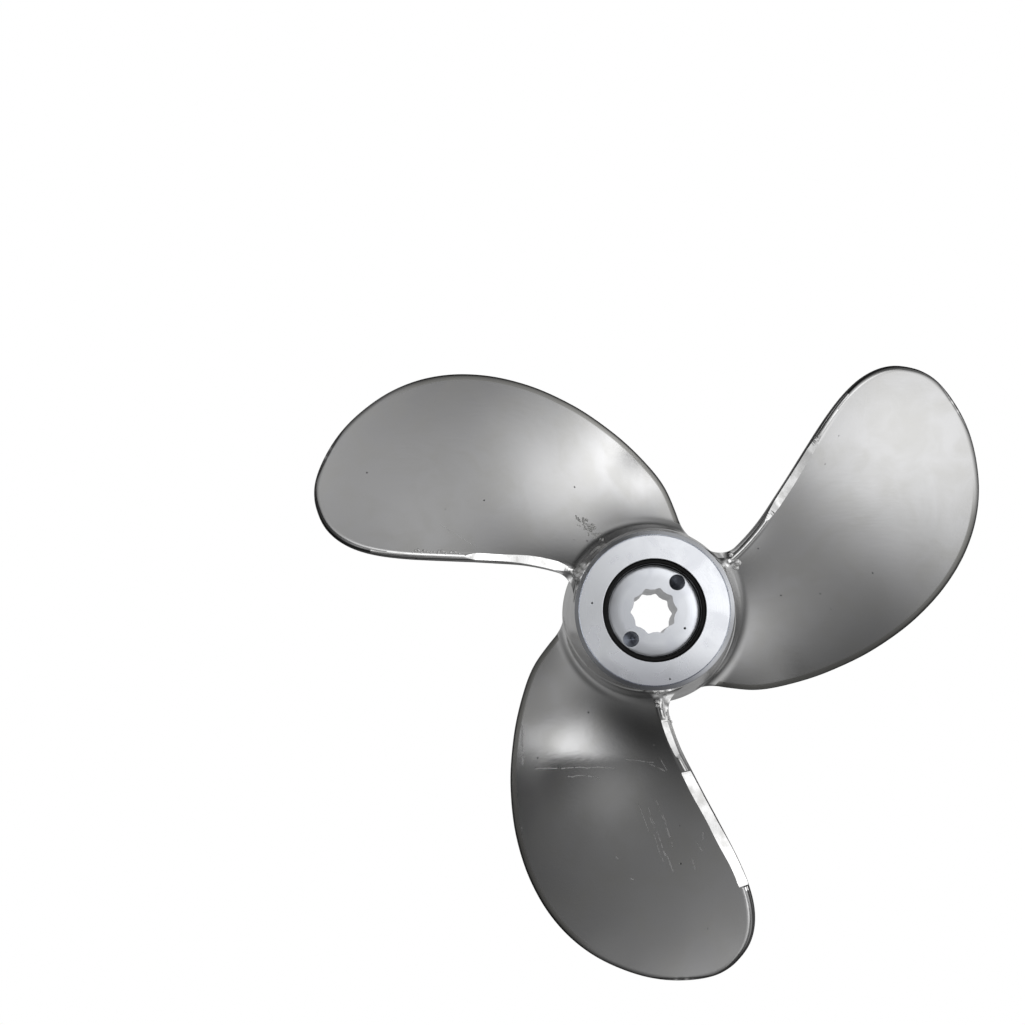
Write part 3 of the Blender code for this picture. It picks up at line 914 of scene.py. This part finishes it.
def crumbs_along_tree(name, material):
    """Geometry Nodes: grains of random size and turn, spread at random along a path."""
    tree = bpy.data.node_groups.new(name, "GeometryNodeTree")
    tree.interface.new_socket("Path", in_out="INPUT", socket_type="NodeSocketGeometry")
    tree.interface.new_socket("Grain", in_out="INPUT", socket_type="NodeSocketObject")
    tree.interface.new_socket("Surface", in_out="INPUT", socket_type="NodeSocketObject")
    tree.interface.new_socket("Count", in_out="INPUT", socket_type="NodeSocketInt")
    for socket in ("Spread", "Smallest", "Largest"):
        tree.interface.new_socket(socket, in_out="INPUT", socket_type="NodeSocketFloat")
    tree.interface.new_socket("Seed", in_out="INPUT", socket_type="NodeSocketInt")
    tree.interface.new_socket("Result", in_out="OUTPUT", socket_type="NodeSocketGeometry")
    nodes = tree.nodes
    links = tree.links
    given = nodes.new("NodeGroupInput")
    curve = nodes.new("GeometryNodeMeshToCurve")
    points = nodes.new("GeometryNodeCurveToPoints")
    moved = nodes.new("GeometryNodeSetPosition")
    grain = nodes.new("GeometryNodeObjectInfo")
    copies = nodes.new("GeometryNodeInstanceOnPoints")
    realize = nodes.new("GeometryNodeRealizeInstances")
    finish = nodes.new("GeometryNodeSetMaterial")
    finish.inputs["Material"].default_value = material
    result = nodes.new("NodeGroupOutput")
    back = add_math(tree, "MULTIPLY", given.outputs["Spread"], -1.0)
    offset = random_vector(tree, back, given.outputs["Spread"], given.outputs["Seed"])
    flat = add_vector_math(tree, "MULTIPLY", offset, (MM, 0.0, MM)).outputs["Vector"]
    turn = random_vector(tree, (0.0, 0.0, 0.0), (6.28, 6.28, 6.28), given.outputs["Seed"])
    size = random_vector(tree, given.outputs["Smallest"], given.outputs["Largest"], given.outputs["Seed"])
    links.new(given.outputs["Path"], curve.inputs["Mesh"])
    links.new(curve.outputs["Curve"], points.inputs["Curve"])
    links.new(given.outputs["Count"], points.inputs["Count"])
    links.new(points.outputs["Points"], moved.inputs["Geometry"])
    surface = nodes.new("GeometryNodeObjectInfo")
    nearest = nodes.new("GeometryNodeProximity")
    position = nodes.new("GeometryNodeInputPosition")
    aim = add_vector_math(tree, "ADD", position.outputs["Position"], flat).outputs["Vector"]
    links.new(given.outputs["Surface"], surface.inputs["Object"])
    links.new(surface.outputs["Geometry"], nearest.inputs["Geometry"])
    links.new(aim, nearest.inputs["Sample Position"])
    links.new(nearest.outputs["Position"], moved.inputs["Position"])
    links.new(given.outputs["Grain"], grain.inputs["Object"])
    links.new(moved.outputs["Geometry"], copies.inputs["Points"])
    links.new(grain.outputs["Geometry"], copies.inputs["Instance"])
    links.new(turn, copies.inputs["Rotation"])
    links.new(size, copies.inputs["Scale"])
    links.new(copies.outputs["Instances"], realize.inputs["Geometry"])
    links.new(realize.outputs["Geometry"], finish.inputs["Geometry"])
    links.new(finish.outputs["Geometry"], result.inputs["Result"])
    return tree


def flaw_material(name, color):
    """Rough bare metal, a little blotched."""
    material, tree, shader = start_metal(name)
    place = place_in_mm(tree)
    blotches = cloud(tree, place, 1.2, 3.0)
    connect(tree, blend_color(tree, ramp(tree, blotches, 0.4, 0.7), color, CAST_STAIN), shader.inputs["Base Color"])
    connect(tree, ramp(tree, blotches, 0.3, 0.7, FLAW_ROUGHNESS - 0.08, FLAW_ROUGHNESS + 0.08), shader.inputs["Roughness"])
    relief(tree, add_math(tree, "MULTIPLY", cloud(tree, place, CAST_GRAIN_SIZE), 0.05), shader)
    return material


flaw_finishes = {True: flaw_material("bright_flaws", FRESH_METAL_COLOR), False: flaw_material("rough_patch", ROUGH_PATCH_COLOR)}
for seed, (name, places, count, spread, smallest, largest, bright) in enumerate(FLAWS):
    grain = new_piece("grain", grain_mesh())
    flaw = new_piece(name, path_mesh(name, places))
    modifier = flaw.modifiers.new(name, "NODES")
    modifier.node_group = crumbs_along_tree(name, flaw_finishes[bright])
    for socket, value in (("Grain", grain), ("Surface", casting), ("Count", count), ("Spread", spread),
                          ("Smallest", smallest), ("Largest", largest), ("Seed", seed)):
        set_tree_input(modifier, socket, value)
    keep_evaluated(flaw, [grain])
    flaw.data.shade_smooth()
    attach(flaw, "root")

# The bush: a black rubber sleeve bonded between the hub and the insert. Only the thin lip
# round the insert's flange shows at the aft end, and its broad end shows at the forward one.
BUSH_OUTER_RADIUS = 13.2
BUSH_AFT_INSET = 0.6
BUSH_LIP_INNER_RADIUS = 12.05
BUSH_SLEEVE_INNER_RADIUS = 8.62
BUSH_STEPS = 160
RUBBER_COLOR = (0.002, 0.002, 0.0022, 1.0)
RUBBER_DUST_COLOR = (0.012, 0.012, 0.013, 1.0)
RUBBER_DUST_SIZE = 3.0
RUBBER_SHEEN = 0.22
RUBBER_SKIN_SIZE = 0.3
RUBBER_SKIN_HEIGHT = 0.01

# The insert, drawn in the next section, is needed here for the steps in the rubber
INSERT_RECESS = 5.0
INSERT_FLANGE_RADIUS = 12.0
INSERT_FLANGE_THICKNESS = 8.0


def bush_outline():
    aft = -HUB_LENGTH + BUSH_AFT_INSET
    flange_back = -HUB_LENGTH + INSERT_RECESS + INSERT_FLANGE_THICKNESS
    forward = -FORWARD_RECESS_DEPTH - BUSH_AFT_INSET
    corners = [
        (BUSH_LIP_INNER_RADIUS, aft, 0.35),
        (BUSH_OUTER_RADIUS - 0.02, aft, 0.35),
        (BUSH_OUTER_RADIUS - 0.02, forward, 0.5),
        (BUSH_SLEEVE_INNER_RADIUS, forward, 0.5),
        (BUSH_SLEEVE_INNER_RADIUS, flange_back, 0.0),
        (BUSH_LIP_INNER_RADIUS, flange_back, 0.0),
    ]
    return rounded_outline(corners, 6)


def rubber_material():
    """Moulded black rubber: a dull skin with fine pores and a little grey dust."""
    material = bpy.data.materials.new("black_rubber")
    material.use_nodes = True
    tree = material.node_tree
    shader = tree.nodes["Principled BSDF"]
    shader.inputs["Specular IOR Level"].default_value = RUBBER_SHEEN
    place = place_in_mm(tree)
    dust = cloud(tree, place, RUBBER_DUST_SIZE, 4.0)
    skin = cloud(tree, place, RUBBER_SKIN_SIZE, 2.0)
    tone = blend_color(tree, ramp(tree, dust, 0.5, 0.8), RUBBER_COLOR, RUBBER_DUST_COLOR)
    connect(tree, tone, shader.inputs["Base Color"])
    connect(tree, ramp(tree, dust, 0.3, 0.7, 0.38, 0.55), shader.inputs["Roughness"])
    relief(tree, add_math(tree, "MULTIPLY", skin, RUBBER_SKIN_HEIGHT), shader)
    return material


bush = new_piece("rubber_bush_ring", turned_mesh("bush", bush_outline(), BUSH_STEPS))
bush.data.materials.append(rubber_material())
bush.data.shade_smooth()
bush.data.set_sharp_from_angle(angle=math.radians(40))
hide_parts("rubber_bush")
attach(bush, "root")

# The insert: a turned steel sleeve with a flange, set back in the hub. Ten low teeth are
# broached right through its bore, and two blind holes are drilled in the flange's face.
INSERT_SLEEVE_RADIUS = 8.6
INSERT_EDGE = 0.25
INSERT_CROWN = 0.12
SPLINE_TEETH = 10
SPLINE_MAJOR_RADIUS = 6.05
SPLINE_MINOR_RADIUS = 5.5
SPLINE_GROOVE_ANGLE = 3.6
SPLINE_GROOVE_FLAT = 3.0
SPLINE_CREST_FLAT = 10.0
PIN_HOLE_RADIUS = 1.95
PIN_HOLE_CIRCLE_RADIUS = 9.5
PIN_HOLE_DEPTH = 5.0
PIN_HOLE_POINT = 1.1
PIN_HOLE_ANGLE = 51.0
PIN_HOLE_EDGE = 0.12
INSERT_STEPS = 200
DRILL_STEPS = 48
INSERT_COLOR = (0.71, 0.73, 0.77, 1.0)
INSERT_STAIN = (0.67, 0.69, 0.74, 1.0)
INSERT_RING_HEIGHT = 0.003
# Painted shade on the teeth deep in the bore: the size of its patches, their lighter colour and a faint relief
BORE_SHADE_PATCH_SIZE = 1.5
BORE_SHADE_PATCH_COLOR = (0.12, 0.12, 0.13, 1.0)
BORE_PATCH_HEIGHT = 0.02


def insert_outline():
    aft = -HUB_LENGTH + INSERT_RECESS
    flange_back = aft + INSERT_FLANGE_THICKNESS
    corners = [
        (SPLINE_MINOR_RADIUS, aft, 0.0),
        (INSERT_FLANGE_RADIUS * 0.7, aft + INSERT_CROWN * 0.3, 0.0),
        (INSERT_FLANGE_RADIUS, aft + INSERT_CROWN, INSERT_EDGE),
        (INSERT_FLANGE_RADIUS, flange_back, 0.0),
        (INSERT_SLEEVE_RADIUS, flange_back, 0.0),
        (INSERT_SLEEVE_RADIUS, 0.0, 0.4),
        (SPLINE_MINOR_RADIUS, 0.0, 0.0),
    ]
    return rounded_outline(corners)


def groove_broach():
    """The cutter for one of the spline's grooves, a V with a small flat at its bottom."""
    foot = (360 / SPLINE_TEETH - SPLINE_CREST_FLAT) / 2
    section = (
        (SPLINE_MINOR_RADIUS - 0.6, -foot),
        (SPLINE_MINOR_RADIUS, -foot),
        (SPLINE_MAJOR_RADIUS, -SPLINE_GROOVE_FLAT / 2),
        (SPLINE_MAJOR_RADIUS, SPLINE_GROOVE_FLAT / 2),
        (SPLINE_MINOR_RADIUS, foot),
        (SPLINE_MINOR_RADIUS - 0.6, foot),
    )
    rings = []
    for y in (-HUB_LENGTH - 5, 5):
        ring = []
        for radius, angle in section:
            around = math.radians(angle + SPLINE_GROOVE_ANGLE)
            ring.append((radius * math.cos(around), y, radius * math.sin(around)))
        rings.append(ring)
    return lofted_item("groove_broach", rings)


def pin_drill():
    """The cutter for one blind hole, with a broken edge at its mouth and a cone at its end."""
    mouth = -HUB_LENGTH + INSERT_RECESS
    bottom = mouth + PIN_HOLE_DEPTH
    around = math.radians(PIN_HOLE_ANGLE)
    middle = Vector((math.cos(around), 0.0, math.sin(around))) * PIN_HOLE_CIRCLE_RADIUS
    shape = (
        (PIN_HOLE_RADIUS + 0.4, mouth - 0.3),
        (PIN_HOLE_RADIUS + PIN_HOLE_EDGE, mouth + INSERT_CROWN * 0.5),
        (PIN_HOLE_RADIUS, mouth + INSERT_CROWN * 0.5 + PIN_HOLE_EDGE),
        (PIN_HOLE_RADIUS, bottom),
        (0.05, bottom + PIN_HOLE_POINT),
    )
    rings = []
    for radius, y in shape:
        ring = []
        for i in range(DRILL_STEPS):
            turn = 2 * math.pi * i / DRILL_STEPS
            ring.append(middle + Vector((radius * math.cos(turn), y, radius * math.sin(turn))))
        rings.append(ring)
    return lofted_item("pin_drill", rings)


def painted_bore_shade_material():
    """The teeth inside the bore, painted near black as the shade deep in the bore, in uneven patches."""
    material, tree, shader = start_metal("bore_teeth_painted_shade")
    place = place_in_mm(tree)
    patches = cloud(tree, place, BORE_SHADE_PATCH_SIZE, 3.0)
    tone = blend_color(tree, ramp(tree, patches, 0.55, 0.8), PAINTED_SHADE_COLOR, BORE_SHADE_PATCH_COLOR)
    connect(tree, tone, shader.inputs["Base Color"])
    connect(tree, ramp(tree, patches, 0.3, 0.7, 0.3, 0.5), shader.inputs["Roughness"])
    relief(tree, add_math(tree, "MULTIPLY", patches, BORE_PATCH_HEIGHT), shader)
    return material


insert_finish = turned_material("turned_steel", INSERT_COLOR, INSERT_STAIN, 0.18, INSERT_RING_HEIGHT)
insert = new_piece("splined_insert_turned", turned_mesh("insert", insert_outline(), INSERT_STEPS))
broach = groove_broach()
drill = pin_drill()
add_copies(insert, broach, SPLINE_TEETH, "DIFFERENCE", insert_finish)
add_copies(insert, drill, 2, "DIFFERENCE", insert_finish)
keep_evaluated(insert, [broach, drill])
insert.data.materials.append(painted_bore_shade_material())
# The teeth deep in the bore get the painted shade
for polygon in insert.data.polygons:
    centre = polygon.center / MM
    if math.hypot(centre.x, centre.z) < SPLINE_MAJOR_RADIUS and abs(polygon.normal.y) < 0.5:
        polygon.material_index = 1
insert.data.shade_smooth()
insert.data.set_sharp_from_angle(angle=math.radians(28))
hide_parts("splined_insert")
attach(insert, "root")

# The floor, a plain pale disc far enough below that the camera looks over it.
FLOOR_DROP = 0.35
FLOOR_RADIUS = 1.3


def make_floor():
    bm = bmesh.new()
    bmesh.ops.create_circle(bm, cap_ends=True, segments=96, radius=FLOOR_RADIUS)
    mesh = bpy.data.meshes.new("floor")
    bm.to_mesh(mesh)
    bm.free()
    item = new_piece("floor", mesh)
    item.location = (0.0, 0.0, -FLOOR_DROP)
    material = bpy.data.materials.new("pale_floor")
    material.use_nodes = True
    shader = material.node_tree.nodes["Principled BSDF"]
    shader.inputs["Base Color"].default_value = (0.9, 0.9, 0.9, 1.0)
    shader.inputs["Roughness"].default_value = 0.6
    mesh.materials.append(material)
    item.visible_glossy = False
    return item


make_floor()

# The camera, where the photograph was taken from: on the aft side, a little low and to the left.
CAMERA_PLACE = (-0.0135, -0.634, -0.014)
CAMERA_TURN = 2.27
CAMERA_TILT = 3.85
CAMERA_ROLL = 0.2
CAMERA_LENS = 79.38
SENSOR_WIDTH = 36.0


def add_camera():
    data = bpy.data.cameras.new("camera")
    data.lens = CAMERA_LENS
    data.sensor_width = SENSOR_WIDTH
    data.clip_start = 0.01
    camera = bpy.data.objects.new("camera", data)
    turn = Matrix.Rotation(math.radians(CAMERA_TURN), 4, "Z")
    tilt = Matrix.Rotation(math.radians(90 + CAMERA_TILT), 4, "X")
    roll = Matrix.Rotation(math.radians(CAMERA_ROLL), 4, "Z")
    camera.matrix_world = Matrix.Translation(CAMERA_PLACE) @ turn @ tilt @ roll
    bpy.context.scene.collection.objects.link(camera)
    bpy.context.scene.camera = camera


add_camera()

# The studio: soft glows round the propeller, each given by its angle from the shaft axis on
# the aft side, the way it lies seen from aft, its tightness and its strength. They are set in
# round steps, and each row says what it lights. The camera itself sees plain white.
GLOWS = (
    (70.0, 40.0, 15.0, 0.8),  # left blade, inner half
    (70.0, 10.0, 25.0, 1.5),  # left blade, the bright patch above the hub
    (50.0, 80.0, 20.0, 0.4),  # left blade, outer half
    (100.0, 40.0, 30.0, 0.2),  # left blade, root fillet
    (40.0, -40.0, 25.0, 1.1),  # right blade, tip
    (90.0, -20.0, 10.0, 0.6),  # right blade, upper end of its root
    (90.0, -40.0, 80.0, 0.5),  # right blade, beside the hub
    (70.0, -70.0, 10.0, 0.2),  # right blade, lower half
    (100.0, -100.0, 10.0, 0.5),  # right blade, root
    (80.0, 130.0, 60.0, 0.2),  # bottom blade, left side of its root
    (60.0, 170.0, 40.0, 0.2),  # bottom blade, middle
    (40.0, -150.0, 10.0, 0.2),  # bottom blade, right side
    (110.0, 120.0, 10.0, 0.4),  # bottom blade, root
    (120.0, 180.0, 15.0, 0.2),  # bottom blade, root fillet
    (170.0, 60.0, 10.0, 0.4),  # forward faces
    (140.0, 0.0, 10.0, 0.3),  # forward faces, from one side
    (140.0, 180.0, 10.0, 0.3),  # forward faces, from the other side
    (10.0, 30.0, 40.0, 1.0),  # hub faces
    (20.0, 0.0, 60.0, 1.5),  # hub faces
    (20.0, 90.0, 60.0, 1.2),  # hub faces
    (20.0, -140.0, 80.0, 1.4),  # hub faces
)
# One soft box has a straight lower side: its glow, the way across that side, where it ends
SOFT_BOX = (65.0, 150.0, 38.0, 0.95)
SOFT_BOX_ACROSS = (-0.58, -0.81, 0.0)
SOFT_BOX_FULL = 0.795
SOFT_BOX_END = 0.825
GLOW_COLOR = (1.0, 1.0, 1.0, 1.0)


def glow_strength(tree, looking, away, round_axis, tightness, strength):
    """A soft glow: strongest along one direction and fading evenly round it."""
    lean = math.radians(away)
    way = math.radians(round_axis)
    toward = tree.nodes.new("ShaderNodeVectorMath")
    toward.operation = "DOT_PRODUCT"
    toward.inputs[1].default_value = (
        math.sin(lean) * math.cos(way),
        -math.cos(lean),
        math.sin(lean) * math.sin(way),
    )
    tree.links.new(looking, toward.inputs[0])
    off = add_math(tree, "SUBTRACT", toward.outputs["Value"], 1.0)
    fade = add_math(tree, "EXPONENT", add_math(tree, "MULTIPLY", off, tightness))
    return add_math(tree, "MULTIPLY", fade, strength)


def set_world():
    world = bpy.data.worlds.new("studio")
    bpy.context.scene.world = world
    world.use_nodes = True
    tree = world.node_tree
    tree.nodes.clear()
    looking = tree.nodes.new("ShaderNodeTexCoord").outputs["Generated"]
    total = None
    for glow in GLOWS:
        strength = glow_strength(tree, looking, *glow)
        total = strength if total is None else add_math(tree, "ADD", total, strength)
    across = tree.nodes.new("ShaderNodeVectorMath")
    across.operation = "DOT_PRODUCT"
    across.inputs[1].default_value = SOFT_BOX_ACROSS
    tree.links.new(looking, across.inputs[0])
    lit = ramp(tree, across.outputs["Value"], SOFT_BOX_END, SOFT_BOX_FULL)
    box = add_math(tree, "MULTIPLY", glow_strength(tree, looking, *SOFT_BOX), lit)
    total = add_math(tree, "ADD", total, box)
    glows = tree.nodes.new("ShaderNodeBackground")
    glows.inputs["Color"].default_value = GLOW_COLOR
    white = tree.nodes.new("ShaderNodeBackground")
    white.inputs["Color"].default_value = (1.0, 1.0, 1.0, 1.0)
    path = tree.nodes.new("ShaderNodeLightPath")
    mix = tree.nodes.new("ShaderNodeMixShader")
    output = tree.nodes.new("ShaderNodeOutputWorld")
    tree.links.new(total, glows.inputs["Strength"])
    plain = add_math(tree, "MAXIMUM", path.outputs["Is Camera Ray"], path.outputs["Is Diffuse Ray"])
    tree.links.new(plain, mix.inputs[0])
    tree.links.new(glows.outputs[0], mix.inputs[1])
    tree.links.new(white.outputs[0], mix.inputs[2])
    tree.links.new(mix.outputs[0], output.inputs["Surface"])


set_world()
bpy.context.scene.view_settings.view_transform = "Standard"
